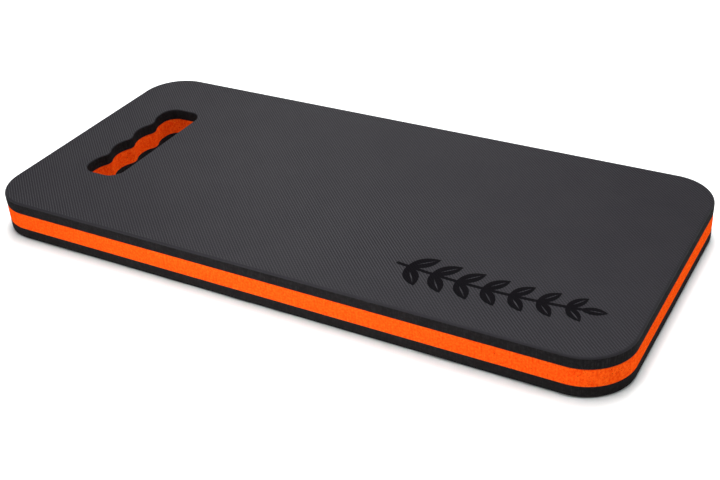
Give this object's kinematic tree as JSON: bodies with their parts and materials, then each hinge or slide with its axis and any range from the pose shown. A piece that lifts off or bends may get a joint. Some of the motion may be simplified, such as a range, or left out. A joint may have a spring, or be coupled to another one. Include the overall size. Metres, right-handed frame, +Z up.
{
  "type": "kneeling pad",
  "caption": "Flat foam kneeling pad of bonded layers with rounded corners and a finger-shaped hand hole through one end.",
  "frame": {"origin": "middle of the pad's underside, on the surface it lies on", "axes": "+X along the pad's length, away from the hand hole; +Y across its width; +Z up through its thickness"},
  "size_m": [0.45, 0.21, 0.0282],
  "materials": {
    "embossed_black_foam": "matte closed-cell EVA foam, fine ridges embossed on the outer face, smooth cut sides",
    "orange_core_foam": "matte closed-cell EVA foam with fine open cells on its cut sides",
    "clear_glue": "thin film of set contact glue, clear over black foam, so it shows as a fine dark line between the sheets",
    "black_ink": "matte screen-printing ink"
  },
  "bodies": {
    "root": {"bottom_sheet": "embossed_black_foam", "lower_glue_film": "clear_glue", "core_sheet": "orange_core_foam", "upper_glue_film": "clear_glue", "top_sheet": "embossed_black_foam", "printed_sprig": "black_ink"}
  },
  "joints": []
}
